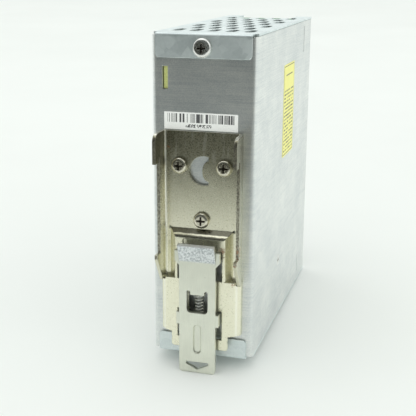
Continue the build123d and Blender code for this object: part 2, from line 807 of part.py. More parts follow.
with BuildPart() as thermal_pads:
    for y, web_top in [(transistor_y, primary_web_z[1]), *[(y, output_web_z[1]) for y in output_device_y]]:
        block((-13.4, 9.0), (y - 6.0, y + 6.0), (web_top, web_top + pad_sheet))
        rod("z", (web_top - 1, web_top + 1), (tab_hole_x, y), m3_clear_hole, mode=Mode.SUBTRACT)
save(thermal_pads.part, "thermal_pads")

with BuildPart() as device_screws:
    for y, seat_z in [(transistor_y, primary_seat), *[(y, output_seat) for y in output_device_y]]:
        seat = Plane((tab_hole_x, y, seat_z + 1.3), x_dir=(1, 0, 0), z_dir=(0, 0, 1))
        add(seat.location * pan_screw(4.4))
save(device_screws.part, "device_screws")

with BuildPart() as primary_heatsink:
    flange_x = (-half_width + shell_sheet + 0.05, -half_width + shell_sheet + 3.0)
    block((flange_x[0], 12.0), (-76.0, -34.0), primary_web_z)
    block(flange_x, (-76.0, -34.0), (-44.0, primary_web_z[1]))
    rod("z", (-34.0, -29.0), (tab_hole_x, transistor_y), m3_thread_hole, mode=Mode.SUBTRACT)
    rod("x", (-19.5, -15.5), (side_screw_y, side_screw_z), m3_thread_hole, mode=Mode.SUBTRACT)
    for y in (-72.0, -38.0):
        rod("x", (11.0, board_face_x), (y, sum(primary_web_z) / 2), 0.9)
save(primary_heatsink.part, "primary_heatsink")

with BuildPart() as output_heatsink:
    block((-17.0, 12.0), (-60.0, -14.0), output_web_z)
    for fin_y in (-58.5, -37.0, -15.5):
        block((-17.0, 6.0), (fin_y - 0.8, fin_y + 0.8), (output_web_z[1], output_web_z[1] + 7.0))
    for y in output_device_y:
        rod("z", (25.0, 30.0), (tab_hole_x, y), m3_thread_hole, mode=Mode.SUBTRACT)
    for y in (-54.0, -20.0):
        rod("x", (11.0, board_face_x), (y, sum(output_web_z) / 2), 0.9)
save(output_heatsink.part, "output_heatsink")

with BuildPart() as bridge_rectifier:
    bridge_top = primary_web_z[0] - gap
    block((-12.0, 8.0), (-74.0, -56.5), (bridge_top - 4.0, bridge_top))
    chamfer(bridge_rectifier.edges().filter_by(Axis.Z).sort_by(Axis.Y)[0], length=2.0)
    for lead in range(4):
        lead_y = -71.5 + lead * 4.3
        block((7.5, board_face_x), (lead_y - 0.5, lead_y + 0.5), (bridge_top - 2.4, bridge_top - 1.6))
save(bridge_rectifier.part, "bridge_rectifier")


# ---- Transformer: two-part core, bobbin and winding ----

core_x = (-13.6, 12.4)
core_y = (-54.0, -42.0)
core_z = (-14.0, 18.0)
core_middle_x = sum(core_x) / 2
core_middle_y = sum(core_y) / 2
leg_half = 4.5
outer_leg = 4.0
yoke = 5.0
bobbin_z = (core_z[0] + yoke + 0.1, core_z[1] - yoke - 0.1)


def around_leg(x_half, y_half, z, mode=Mode.ADD):
    """A box around the centre leg."""
    x = (core_middle_x - x_half, core_middle_x + x_half)
    y = (core_middle_y - y_half, core_middle_y + y_half)
    block(x, y, z, mode=mode)


with BuildPart() as transformer_core:
    block(core_x, core_y, core_z)
    window_z = (core_z[0] + yoke, core_z[1] - yoke)
    for side in (-1, 1):
        window_x = sorted(
            (
                core_middle_x + side * leg_half,
                core_middle_x + side * ((core_x[1] - core_x[0]) / 2 - outer_leg),
            )
        )
        block(window_x, (core_y[0] - 1, core_y[1] + 1), window_z, mode=Mode.SUBTRACT)
save(transformer_core.part, "transformer_core")

with BuildPart() as transformer_bobbin:
    flange_thickness = 1.2
    around_leg(leg_half + 1.1, 7.2, bobbin_z)
    around_leg(8.8, 11.2, (bobbin_z[0], bobbin_z[0] + flange_thickness))
    around_leg(8.8, 11.2, (bobbin_z[1] - flange_thickness, bobbin_z[1]))
    around_leg(leg_half + 0.1, 6.1, (core_z[0], core_z[1]), mode=Mode.SUBTRACT)
save(transformer_bobbin.part, "transformer_bobbin")

with BuildPart() as transformer_winding:
    winding_z = (bobbin_z[0] + 1.25, bobbin_z[1] - 1.25)
    around_leg(8.4, 10.8, winding_z)
    fillet(transformer_winding.edges().filter_by(Axis.Z), radius=2.6)
    around_leg(leg_half + 1.2, 7.3, (core_z[0], core_z[1]), mode=Mode.SUBTRACT)
save(transformer_winding.part, "transformer_winding")


# ---- Output side: choke and capacitors ----

output_core = (5.2, 9.4, 9.0)
output_plane = Plane((7.6, -84.0, 14.5), x_dir=(0, 1, 0), z_dir=(0, 0, 1))
save(toroid_ring(*output_core, 360, output_plane), "output_choke_core")
save(toroid_winding(output_core, 1.2, 290, output_plane, (35,)), "output_choke_winding")

with BuildPart() as output_capacitors:
    for y in (-66.5, -78.5, -90.5):
        rod("x", (-6.0, board_face_x), (y, 38.0), 5.0)
    fillet(output_capacitors.edges().filter_by(GeomType.CIRCLE), radius=0.7)
save(output_capacitors.part, "output_capacitors")
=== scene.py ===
"""A slim DIN rail power supply, seen from its rail side: sheet metal case, nickel plated bracket and latch."""

import math

import bmesh
import bpy
from mathutils import Matrix, Vector


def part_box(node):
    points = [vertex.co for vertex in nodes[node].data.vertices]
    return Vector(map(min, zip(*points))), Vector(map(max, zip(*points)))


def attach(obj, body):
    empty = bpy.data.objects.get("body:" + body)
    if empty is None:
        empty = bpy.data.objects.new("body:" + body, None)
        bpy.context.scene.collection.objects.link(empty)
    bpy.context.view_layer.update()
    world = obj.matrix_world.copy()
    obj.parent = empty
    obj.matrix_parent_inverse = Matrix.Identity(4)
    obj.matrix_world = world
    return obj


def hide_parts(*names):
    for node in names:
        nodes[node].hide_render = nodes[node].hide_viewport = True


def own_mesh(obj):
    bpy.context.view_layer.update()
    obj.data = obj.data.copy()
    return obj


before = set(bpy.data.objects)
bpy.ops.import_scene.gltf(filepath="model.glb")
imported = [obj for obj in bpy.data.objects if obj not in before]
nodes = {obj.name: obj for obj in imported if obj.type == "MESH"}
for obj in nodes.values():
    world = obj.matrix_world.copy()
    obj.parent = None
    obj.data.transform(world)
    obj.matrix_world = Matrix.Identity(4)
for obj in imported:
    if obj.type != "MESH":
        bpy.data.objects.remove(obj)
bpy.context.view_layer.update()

# ---- Chassis shell ----
# One bent aluminium sheet makes the rear wall and both side walls. It is mill finished: fine
# rolling lines run along it, with faint clouding, and a few scuffs from handling.


class Signal:
    """A node's output that takes part in arithmetic: each operator adds one Math node."""

    def __init__(self, finish, socket):
        self.finish = finish
        self.socket = socket

    def math(self, operation, *values):
        sockets = dict(enumerate(values))
        return self.finish.node("Math", {"operation": operation}, sockets)

    def __add__(self, other):
        return self.math("ADD", self, other)

    def __radd__(self, other):
        return self.math("ADD", other, self)

    def __sub__(self, other):
        return self.math("SUBTRACT", self, other)

    def __rsub__(self, other):
        return self.math("SUBTRACT", other, self)

    def __mul__(self, other):
        return self.math("MULTIPLY", self, other)

    def __rmul__(self, other):
        return self.math("MULTIPLY", other, self)

    def __truediv__(self, other):
        return self.math("DIVIDE", self, other)

    def __pow__(self, other):
        return self.math("POWER", self, other)

    def __abs__(self):
        return self.math("ABSOLUTE", self)


class Finish:
    """A material on the Principled shader. Its places are in millimetres in the object's own frame."""

    def __init__(self, name, **constants):
        self.material = bpy.data.materials.new(name)
        self.material.use_nodes = True
        self.tree = self.material.node_tree
        self.shader = self.tree.nodes["Principled BSDF"]
        for socket, value in constants.items():
            self.shader.inputs[socket.replace("_", " ")].default_value = value
        self.place = self.vector("SCALE", self.node("TexCoord", {}, {}, "Object"), Scale=1000.0)
        self.x, self.y, self.z = self.parts(self.place)
        self.facing = self.node("TexCoord", {}, {}, "Normal")

    def node(self, kind, settings, sockets, output=0):
        made = self.tree.nodes.new("ShaderNode" + kind)
        for name, value in settings.items():
            if name == "stops":
                ramp = made.color_ramp
                for index, (position, colour) in enumerate(value):
                    while len(ramp.elements) <= index:
                        ramp.elements.new(1.0)
                    ramp.elements[index].position = position
                    ramp.elements[index].color = (*colour, 1.0)
            else:
                setattr(made, name, value)
        for name, value in sockets.items():
            if isinstance(value, Signal):
                self.tree.links.new(value.socket, made.inputs[name])
            elif isinstance(value, tuple) and len(value) == 3 and made.inputs[name].type == "RGBA":
                made.inputs[name].default_value = (*value, 1.0)
            else:
                made.inputs[name].default_value = value
        return Signal(self, made.outputs[output])

    def vector(self, operation, first, second=(0.0, 0.0, 0.0), **extra):
        return self.node("VectorMath", {"operation": operation}, {0: first, 1: second, **extra})

    def parts(self, vector):
        split = self.node("SeparateXYZ", {}, {0: vector}).socket.node
        return [Signal(self, output) for output in split.outputs]

    def stretched(self, stretch, shift=(0.0, 0.0, 0.0)):
        moved = self.vector("ADD", self.place, shift)
        return self.vector("MULTIPLY", moved, stretch)

    def noise(self, size, detail=3.0, stretch=(1.0, 1.0, 1.0), rough=0.55, shift=(0.0, 0.0, 0.0)):
        """Clouds whose lumps are about size millimetres across."""
        settings = {"noise_dimensions": "3D"}
        sockets = {
            "Vector": self.stretched(stretch, shift),
            "Scale": 1.0 / size,
            "Detail": detail,
            "Roughness": rough,
        }
        return self.node("TexNoise", settings, sockets)

    def cells(self, size, output="Distance", stretch=(1.0, 1.0, 1.0), feature="F1"):
        sockets = {"Vector": self.stretched(stretch), "Scale": 1.0 / size}
        return self.node("TexVoronoi", {"feature": feature}, sockets, output)

    def rise(self, value, low, high, start=0.0, end=1.0):
        """Goes smoothly from start to end while value goes from low to high."""
        settings = {"interpolation_type": "SMOOTHSTEP", "clamp": True}
        return self.node("MapRange", settings, {0: value, 1: low, 2: high, 3: start, 4: end})

    def between(self, value, low, high, soft=0.08):
        """One where value lies between low and high, and nought outside."""
        return self.rise(value, low - soft, low + soft) * self.rise(value, high - soft, high + soft, 1.0, 0.0)

    def patch(self, across, up, middle, size, soft=0.08):
        """A rectangle: middle and size are (across, up) pairs."""
        side = self.between(across, middle[0] - size[0] / 2, middle[0] + size[0] / 2, soft)
        return side * self.between(up, middle[1] - size[1] / 2, middle[1] + size[1] / 2, soft)

    def spot(self, centre, radius, soft=0.4):
        """A ball-shaped patch that fades over the soft share of its radius."""
        away = self.node("VectorMath", {"operation": "DISTANCE"}, {0: self.place, 1: centre}, "Value")
        return self.rise(away, radius * (1.0 - soft), radius, 1.0, 0.0)

    def both(self, first, second):
        return first.math("MAXIMUM", first, second)

    def mix(self, share, first, second, blend="MIX"):
        """Blends two colours."""
        settings = {"data_type": "RGBA", "blend_type": blend, "clamp_factor": True}
        sockets = {0: share, 6: first, 7: second}
        return self.node("Mix", settings, sockets, 2)

    def ramp(self, share, stops):
        return self.node("ValToRGB", {"stops": stops}, {0: share})

    def link(self, value, socket):
        self.tree.links.new(value.socket, self.shader.inputs[socket])

    def wear(self, height, strength, depth, edge=0.00022):
        """Relief of a depth in millimetres, over edges that are slightly rounded."""
        rounded = self.node("Bevel", {"samples": 6}, {"Radius": edge}, "Normal")
        sockets = {"Height": height, "Strength": strength, "Distance": depth / 1000, "Normal": rounded}
        self.link(self.node("Bump", {}, sockets), "Normal")

    def apply(self, *names):
        """Gives this finish to the named CAD nodes."""
        for name in names:
            slots = nodes[name].material_slots
            for slot in slots:
                slot.material = self.material


def rolled_aluminium():
    finish = Finish("rolled aluminium", Metallic=0.94)
    lines = finish.noise(0.9, 3.0, (0.035, 0.035, 3.2))
    fine = finish.noise(0.35, 2.0, (0.06, 0.06, 4.0), shift=(3.0, 9.0, 1.0))
    clouds = finish.noise(22.0, 3.0)
    grain = finish.noise(0.32, 2.0)
    blotches = finish.noise(3.2, 4.0, (0.5, 0.5, 1.0), shift=(11.0, 4.0, 2.0))
    tone = clouds * 0.24 + lines * 0.26 + grain * 0.36 + blotches * 0.14
    plain = finish.ramp(tone, [(0.36, (0.58, 0.62, 0.635)), (0.64, (0.92, 0.93, 0.90))])
    # Scuffs: short scratches that cross the rolling lines here and there.
    scratch = finish.noise(1.2, 2.0, (0.5, 0.5, 0.03), shift=(4.0, 2.0, 40.0))
    scuffed = finish.rise(scratch, 0.69, 0.74) * finish.rise(clouds, 0.5, 0.62)
    colour = finish.mix(scuffed * 0.5, plain, (0.92, 0.93, 0.91))
    finish.link(colour, "Base Color")
    finish.link(0.3 + tone * 0.2 - scuffed * 0.12, "Roughness")
    finish.wear(lines * 0.6 + fine * 0.4 + grain * 0.5 + blotches * 0.5, 0.45, 0.02, 0.0003)
    finish.apply("chassis_shell")


rolled_aluminium()

# ---- Covers ----
# Perforated hot-dip galvanised sheet. The zinc shows soft crystals a few millimetres across
# under a thin blue passivation, and its punched edges are bright.


def galvanised_sheet():
    finish = Finish("galvanised sheet", Metallic=0.85)
    crystal = finish.cells(3.4, "Color")
    shade = finish.parts(crystal)[0]
    veins = finish.noise(1.1, 4.0)
    clouds = finish.noise(14.0, 2.0)
    grain = finish.noise(0.3, 2.0)
    tone = shade * 0.3 + veins * 0.35 + clouds * 0.35
    colour = finish.ramp(tone, [(0.28, (0.70, 0.775, 0.785)), (0.7, (0.90, 0.965, 0.97))])
    finish.link(finish.mix(grain * 0.25, colour, (0.88, 0.92, 0.92)), "Base Color")
    finish.link(0.42 + shade * 0.1 + veins * 0.08, "Roughness")
    finish.wear(shade * 0.5 + grain, 0.3, 0.01, 0.0003)
    finish.apply("top_cover", "bottom_cover")


galvanised_sheet()

# ---- Rail bracket ----
# Pressed steel with a dull nickel plate that has a warm cast. The upper part is mottled, and dark from painted
# reflection; sheared edges show a rough break, and small rust spots sit where the plate is thin.

bracket_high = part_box("rail_bracket")[1]
bracket_half_width = bracket_high[0] * 1000
bracket_top_z = bracket_high[2] * 1000


def plated_bracket():
    finish = Finish("nickel plated steel", Metallic=0.93)
    height = finish.z
    clouds = finish.noise(9.0, 4.0)
    grain = finish.noise(0.55, 3.0)
    fine = finish.noise(0.22, 2.0)
    streaks = finish.noise(2.4, 3.0, (1.0, 1.0, 0.22), shift=(5.0, 1.0, 0.0))
    # Painted reflection: the colour runs from pale cream at the bottom to dark olive at the top.
    dark_reflection_rise = finish.rise(height + (clouds - 0.5) * 14.0, -34.0, 24.0)
    warm = finish.ramp(
        dark_reflection_rise,
        [
            (0.0, (0.87, 0.85, 0.68)),
            (0.4, (0.84, 0.815, 0.655)),
            (0.75, (0.70, 0.68, 0.53)),
            (1.0, (0.34, 0.325, 0.235)),
        ],
    )
    # Dark mottling, stronger toward the top: partly the plate's own mottling and partly painted reflection.
    mottled = finish.rise(grain * 0.7 + fine * 0.45, 0.5, 0.72)
    upper = finish.rise(height + (clouds - 0.5) * 10.0, 7.0, bracket_top_z - 6.0)
    warm = finish.mix(mottled * (upper * 0.8 + 0.1), warm, (0.12, 0.115, 0.085))
    # The bends and the upward-facing top edge get a painted highlight.
    bend_highlight = finish.between(abs(finish.x), bracket_half_width - 1.9, bracket_half_width - 1.2, 0.25)
    bend_highlight = bend_highlight * finish.rise(finish.parts(finish.facing)[1], 0.3, 0.6)
    top_edge_highlight = finish.rise(finish.parts(finish.facing)[2], 0.75, 0.95) * finish.rise(height, -14.0, -12.0)
    painted_highlight = finish.both(bend_highlight * (0.45 + streaks * 0.4), top_edge_highlight)
    warm = finish.mix(painted_highlight, warm, (0.96, 0.945, 0.85))
    warm = finish.mix(finish.rise(streaks, 0.5, 0.75) * 0.25, warm, (0.9, 0.87, 0.74))
    # The tight fold above the raised centre gets painted shade where it faces up, with a painted highlight
    # line where its radius ends.
    fold_shade = finish.between(height, -13.3, -10.2, 0.15) * finish.rise(abs(finish.x), 12.2, 12.8, 1.0, 0.0)
    fold_shade = fold_shade * finish.rise(finish.parts(finish.facing)[2], 0.2, 0.45)
    fold_highlight = finish.between(height + (streaks - 0.5) * 0.6, -12.6, -12.1, 0.12)
    warm = finish.mix(fold_shade * (1.0 - fold_highlight) * 0.9, warm, (0.10, 0.095, 0.07))
    # Sheared edges of the side flanges face the rail.
    normal_y = finish.parts(finish.facing)[1]
    flange = finish.rise(abs(finish.x), bracket_half_width - 1.5, bracket_half_width - 1.1)
    edge = finish.rise(normal_y, 0.8, 0.95) * flange * finish.rise(finish.y, -4.4, -3.9)
    broken = finish.rise(finish.noise(0.45, 3.0, (1.0, 1.0, 0.8), shift=(1.0, 2.0, 3.0)), 0.4, 0.58)
    warm = finish.mix(edge * (1.0 - broken * 0.55) * 0.85, warm, (0.13, 0.12, 0.10))
    # Rust at the ends of cuts and on the flange by the rail's lower lip.
    rust = finish.spot((-bracket_half_width, 0.2, -17.0), 3.2)
    for centre, radius in (
        ((-8.8, -2.4, -17.6), 1.6),
        ((-8.9, -2.4, -20.6), 1.3),
        ((7.3, -2.4, -17.9), 1.0),
        ((-12.8, -2.4, -30.4), 1.5),
        ((-bracket_half_width, 3.6, -20.6), 1.6),
        ((13.2, -5.0, 20.5), 1.1),
    ):
        rust = finish.both(rust, finish.spot(centre, radius))
    rust = rust * finish.rise(finish.noise(0.8, 4.0, shift=(7.0, 7.0, 7.0)), 0.47, 0.6)
    colour = finish.mix(rust * 0.8, warm, (0.30, 0.14, 0.06))
    finish.link(colour, "Base Color")
    finish.link(0.93 - rust * 0.75, "Metallic")
    finish.link(0.2 + grain * 0.12 + upper * 0.06 + edge * 0.25 + rust * 0.4, "Roughness")
    finish.wear(grain * 0.5 + fine * 0.4 + broken * edge * 2.0, 0.4, 0.02, 0.00035)
    finish.apply("rail_bracket")


plated_bracket()

# ---- Latch ----
# Steel plate, 1.5 mm, with a satin nickel finish drawn along its length. The flared lip that rides
# on the rail is tumbled and mottled, painted darker as painted shade, with a painted highlight on its upper
# edge.

latch_low, latch_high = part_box("rail_latch")
latch_bend_z = -21.6
latch_lip_half_width = 7.0
latch_tail_rear = 0.0048
rib_top_z = -47.4


def satin_latch():
    finish = Finish("satin nickel", Metallic=0.92)
    drawn = finish.noise(0.5, 3.0, (2.2, 2.2, 0.05))
    clouds = finish.noise(7.0, 3.0)
    grain = finish.noise(0.3, 2.0)
    tone = drawn * 0.35 + clouds * 0.4 + grain * 0.25
    plain = finish.ramp(tone, [(0.28, (0.68, 0.695, 0.605)), (0.72, (0.88, 0.895, 0.785))])
    flare = finish.rise(abs(finish.x), latch_lip_half_width, latch_lip_half_width + 0.4, 1.0, 0.0)
    lip = finish.rise(finish.z, latch_bend_z - 0.7, latch_bend_z + 0.3) * flare
    # Painted highlight on the lip's upward-facing top edge.
    top_edge_highlight = finish.rise(finish.parts(finish.facing)[2], 0.3, 0.55) * lip
    blotch = finish.rise(finish.noise(0.75, 4.0, shift=(2.0, 0.0, 5.0)), 0.36, 0.62)
    # The lip's mottling is partly its own and partly painted shade, darker and bluer than the plate.
    mottle_and_shade = finish.mix(blotch, (0.36, 0.39, 0.43), (0.84, 0.87, 0.90))
    colour = finish.mix(lip * 0.85, plain, mottle_and_shade)
    colour = finish.mix(top_edge_highlight * 0.9, colour, (0.97, 0.98, 0.97))
    # The pressed rib is shaded at its upper end.
    rib_end = finish.spot((0.0, latch_high[1] * 1000, rib_top_z), 1.7, 0.6)
    colour = finish.mix(rib_end * 0.62, colour, (0.20, 0.20, 0.19))
    # A few dark specks.
    speck = finish.rise(finish.noise(0.7, 3.0, shift=(9.0, 4.0, 2.0)), 0.68, 0.72)
    colour = finish.mix(speck * 0.5, colour, (0.16, 0.15, 0.13))
    finish.link(colour, "Base Color")
    finish.link(0.3 + tone * 0.12 + lip * blotch * 0.16, "Roughness")
    finish.wear(drawn * 0.4 + grain * 0.4 + lip * blotch * 1.5, 0.4, 0.015, 0.0004)
    finish.apply("rail_latch")


def spring_wire():
    finish = Finish("drawn spring wire", Metallic=1.0)
    drawn = finish.noise(0.25, 3.0)
    finish.link(finish.ramp(drawn, [(0.35, (0.62, 0.62, 0.60)), (0.65, (0.92, 0.92, 0.9))]), "Base Color")
    finish.link(0.18 + drawn * 0.2, "Roughness")
    finish.wear(drawn, 0.2, 0.01, 0.00005)
    # The real coil shortens as the latch comes down on it; a welded copy of the node stands for it.
    coil = bmesh.new()
    coil.from_mesh(nodes["latch_spring"].data)
    bmesh.ops.remove_doubles(coil, verts=coil.verts, dist=1e-7)
    bmesh.ops.recalc_face_normals(coil, faces=coil.faces)
    mesh = bpy.data.meshes.new("compressed_coil")
    coil.to_mesh(mesh)
    coil.free()
    mesh.materials.clear()
    mesh.materials.append(finish.material)
    mesh.polygons.foreach_set("use_smooth", [True] * len(mesh.polygons))
    spring = bpy.data.objects.new("compressed_coil", mesh)
    bpy.context.scene.collection.objects.link(spring)
    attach(spring, "case")
    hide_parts("latch_spring")
    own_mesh(spring)


satin_latch()
spring_wire()

# ---- Screws ----
# Nickel plated pan heads on the outside: bright domes with painted shade in the cross recess, and darker
# blotches inside the rim of the upper heads.
# The ones inside the case are plain zinc plated.


def screw_plate(name, tint, targets, axes, seat, recess=1.75, darker_upper_heads=False):
    """Axes is a list of (x, z) pairs for heads that face +Y with their tops at seat."""
    finish = Finish(name, Metallic=0.97)
    turned = finish.noise(0.3, 3.0)
    clouds = finish.noise(1.4, 3.0)
    light = tuple(min(1.0, channel * 1.22) for channel in tint)
    colour = finish.ramp(turned * 0.5 + clouds * 0.5, [(0.3, tint), (0.7, light)])
    rough = 0.16 + turned * 0.16
    if axes:
        recess_shade = None
        head_darkening = None
        for x, z in axes:
            away = ((finish.x - x) ** 2.0 + (finish.z - z) ** 2.0) ** 0.5
            # Painted shade in each cross recess.
            one_recess_shade = finish.rise(away, recess - 0.35, recess, 1.0, 0.0)
            recess_shade = one_recess_shade if recess_shade is None else finish.both(recess_shade, one_recess_shade)
            # Heads are darkened in blotches inside the rim, more on the heads above the middle.
            one_head_darkening = finish.rise(away, 2.0, 2.5, 1.0, 0.0) * (0.75 if z > 0.0 and darker_upper_heads else 0.2)
            head_darkening = one_head_darkening if head_darkening is None else finish.both(head_darkening, one_head_darkening)
        recess_shade = recess_shade * finish.rise(finish.y, seat - 0.45, seat - 0.15, 1.0, 0.0)
        head_blotches = finish.rise(finish.noise(0.5, 4.0, shift=(3.0, 1.0, 6.0)), 0.36, 0.56)
        colour = finish.mix(head_darkening * head_blotches, colour, (0.17, 0.15, 0.10))
        colour = finish.mix(recess_shade * 0.86, colour, (0.07, 0.055, 0.04))
        rough = rough + recess_shade * 0.3
    finish.link(colour, "Base Color")
    finish.link(rough, "Roughness")
    finish.wear(turned, 0.25, 0.01, 0.00015)
    finish.apply(*targets)


def screw_axes(name, count):
    """The (x, z) middles of the screws in a node, found from its vertices near the head's rim."""
    mesh = nodes[name].data
    low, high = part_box(name)
    rim = [v.co for v in mesh.vertices if v.co.y > high[1] - 0.0021]
    groups = []
    for point in rim:
        for group in groups:
            if (Vector((group[0].x, group[0].z)) - Vector((point.x, point.z))).length < 0.0066:
                group.append(point)
                break
        else:
            groups.append([point])
    middles = []
    for group in groups[:count]:
        xs = [p.x for p in group]
        zs = [p.z for p in group]
        middles.append((500 * (min(xs) + max(xs)), 500 * (min(zs) + max(zs))))
    return middles


warm_nickel = (0.70, 0.67, 0.56)
clean_nickel = (0.74, 0.74, 0.72)
bracket_head_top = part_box("bracket_screws")[1][1] * 1000
cover_head_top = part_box("cover_screw")[1][1] * 1000
screw_plate(
    "screw nickel",
    warm_nickel,
    ["bracket_screws"],
    screw_axes("bracket_screws", 3),
    bracket_head_top,
    darker_upper_heads=True,
)
screw_plate(
    "bright screw nickel",
    clean_nickel,
    ["cover_screw"],
    screw_axes("cover_screw", 1),
    cover_head_top,
    darker_upper_heads=True,
)
screw_plate("countersunk screw nickel", clean_nickel, ["side_screw"], [], 0.0)
terminal_screws = [name for name in nodes if "_screw_" in name]
clamps = [name for name in nodes if "_clamp_" in name]
inner_screws = ["board_screws", "device_screws", "board_spacers"]
screw_plate("zinc plate", (0.58, 0.60, 0.61), [*terminal_screws, *clamps, *inner_screws], [], 0.0)

# ---- Labels ----
# A printed paper strip of bars with a short line of figures, and a yellow film on the
# side wall. Their marks are generic: bars, dashes and blocks in place of words.


def bars_label():
    finish = Finish("bar printed paper")
    low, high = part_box("barcode_label")
    left, right = low[0] * 1000, high[0] * 1000
    bottom, top = low[2] * 1000, high[2] * 1000
    bar_width = 0.24
    column = finish.x.math("FLOOR", finish.x / bar_width)
    chance = finish.node("TexWhiteNoise", {"noise_dimensions": "1D"}, {"W": column})
    bar = chance.math("GREATER_THAN", chance, 0.5)
    field = finish.between(finish.x, left + 1.4, right - 1.3, 0.02)
    field = field * finish.between(finish.z, bottom + 2.7, top - 0.5, 0.04)
    figure = finish.x.math("FLOOR", finish.x / 0.34)
    shape = finish.node(
        "TexWhiteNoise",
        {"noise_dimensions": "2D"},
        {"Vector": finish.node("CombineXYZ", {}, {0: figure, 1: finish.z.math("FLOOR", finish.z / 0.3)})},
    )
    words = shape.math("GREATER_THAN", shape, 0.42)
    words = words * finish.between(finish.x, -3.2, 6.7, 0.03)
    words = words * finish.between(finish.z, bottom + 0.9, bottom + 2.1, 0.03)
    ink = finish.both(bar * field, words)
    fibre = finish.noise(0.5, 4.0)
    paper = finish.ramp(fibre, [(0.3, (0.83, 0.835, 0.81)), (0.7, (0.91, 0.915, 0.89))])
    finish.link(finish.mix(ink * 0.93, paper, (0.035, 0.035, 0.04)), "Base Color")
    finish.link(0.5 + fibre * 0.15 - ink * 0.1, "Roughness")
    finish.wear(fibre, 0.2, 0.01, 0.00002)
    finish.apply("barcode_label")


def film_label():
    finish = Finish("printed yellow film", Coat_Roughness=0.3)
    low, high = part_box("side_label")
    near, far = low[1] * 1000, high[1] * 1000
    bottom, top = low[2] * 1000, high[2] * 1000
    across, up = finish.y, finish.z
    row = up.math("FLOOR", up / 1.5)
    in_row = up.math("FRACT", up / 1.5)
    letter = finish.node("CombineXYZ", {}, {0: across.math("FLOOR", across / 0.5), 1: row})
    chance = finish.node("TexWhiteNoise", {"noise_dimensions": "2D"}, {"Vector": letter})
    lines = chance.math("GREATER_THAN", chance, 0.35) * finish.between(in_row, 0.3, 0.75, 0.05)
    text = lines * finish.between(across, near + 1.6, far - 1.6, 0.05)
    text = text * finish.between(up, bottom + 2.0, top - 10.0, 0.05)
    heading = finish.patch(across, up, ((near + far) / 2, top - 4.6), (far - near - 9.0, 0.5))
    frame_line = finish.between(across, near + 0.6, far - 0.6, 0.05)
    frame_line = frame_line * finish.between(up, bottom + 0.6, top - 0.6, 0.05)
    inner = finish.between(across, near + 0.95, far - 0.95, 0.05)
    inner = inner * finish.between(up, bottom + 0.95, top - 0.95, 0.05)
    ink = finish.both(finish.both(text, heading), frame_line - inner)
    age = finish.noise(6.0, 4.0)
    film = finish.ramp(age, [(0.3, (0.92, 0.87, 0.19)), (0.7, (0.97, 0.93, 0.27))])
    finish.link(finish.mix(ink * 0.9, film, (0.05, 0.045, 0.04)), "Base Color")
    finish.link(0.32 + age * 0.12, "Roughness")
    finish.wear(age, 0.1, 0.01, 0.00002)
    finish.apply("side_label")


bars_label()
film_label()

# ---- Front panel, indicator and trimmer ----
# The panel is moulded in near-black plastic with a fine eroded texture. Its rating plate is a
# pale recessed field, and small white legends mark the terminals, the trimmer and the lamp.


def middle_of(name):
    """The middle of a CAD node's box, in millimetres."""
    low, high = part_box(name)
    return [500 * (a + b) for a, b in zip(low, high)]


trimmer_x, _, control_z = middle_of("trimmer_shaft")
lamp_x = middle_of("light_pipe")[0]


def moulded_panel():
    finish = Finish("moulded panel plastic")
    spark = finish.noise(0.28, 3.0)
    clouds = finish.noise(18.0, 3.0)
    plain = finish.ramp(
        spark * 0.4 + clouds * 0.6, [(0.3, (0.024, 0.027, 0.031)), (0.7, (0.055, 0.06, 0.067))]
    )
    across, up = finish.x, finish.z
    field = finish.patch(across, up, (0.0, -5.0), (23.0, 33.0), 0.15)
    row = up.math("FLOOR", up / 1.7)
    in_row = up.math("FRACT", up / 1.7)
    letter = finish.node("CombineXYZ", {}, {0: across.math("FLOOR", across / 0.55), 1: row})
    chance = finish.node("TexWhiteNoise", {"noise_dimensions": "2D"}, {"Vector": letter})
    lines = chance.math("GREATER_THAN", chance, 0.38) * finish.between(in_row, 0.28, 0.72, 0.06)
    lines = lines * finish.patch(across, up, (0.0, -8.0), (19.0, 24.0))
    heading = finish.patch(across, up, (0.0, 7.2), (18.0, 3.4))
    plate = finish.mix(finish.both(lines, heading) * 0.9, (0.62, 0.64, 0.65), (0.05, 0.055, 0.06))
    colour = finish.mix(field, plain, plate)
    # Legends: a ring round the trimmer, a bar by the lamp, and a tick for each pole.
    away = ((across - trimmer_x) ** 2.0 + (up - control_z) ** 2.0) ** 0.5
    ring = finish.between(away, 3.0, 3.35, 0.06) * finish.rise(up, control_z - 2.4, control_z - 2.0)
    marks = finish.both(ring, finish.patch(across, up, (lamp_x, control_z + 4.4), (5.0, 0.9)))
    for poles, level in ((4, 44.2), (3, -44.2)):
        pitch = 25.4 / poles
        for pole in range(poles):
            middle = (pole - (poles - 1) / 2) * pitch
            marks = finish.both(marks, finish.patch(across, up, (middle, level), (0.5, 1.9)))
            marks = finish.both(marks, finish.patch(across, up, (middle, level), (1.9, 0.5)))
    facing_front = finish.rise(finish.parts(finish.facing)[1] * -1.0, 0.7, 0.9)
    finish.link(finish.mix(marks * facing_front * 0.9, colour, (0.78, 0.79, 0.78)), "Base Color")
    finish.link(0.48 + spark * 0.16 - field * 0.12, "Roughness")
    finish.wear(spark * (1.0 - field * 0.8), 0.5, 0.03, 0.0003)
    finish.apply("front_panel")


def tinted_lamp():
    finish = Finish("tinted lamp plastic", Transmission_Weight=0.75, IOR=1.49)
    haze = finish.noise(1.2, 3.0)
    finish.link(finish.ramp(haze, [(0.3, (0.34, 0.72, 0.36)), (0.7, (0.52, 0.86, 0.5))]), "Base Color")
    finish.link(0.1 + haze * 0.14, "Roughness")
    finish.apply("light_pipe")


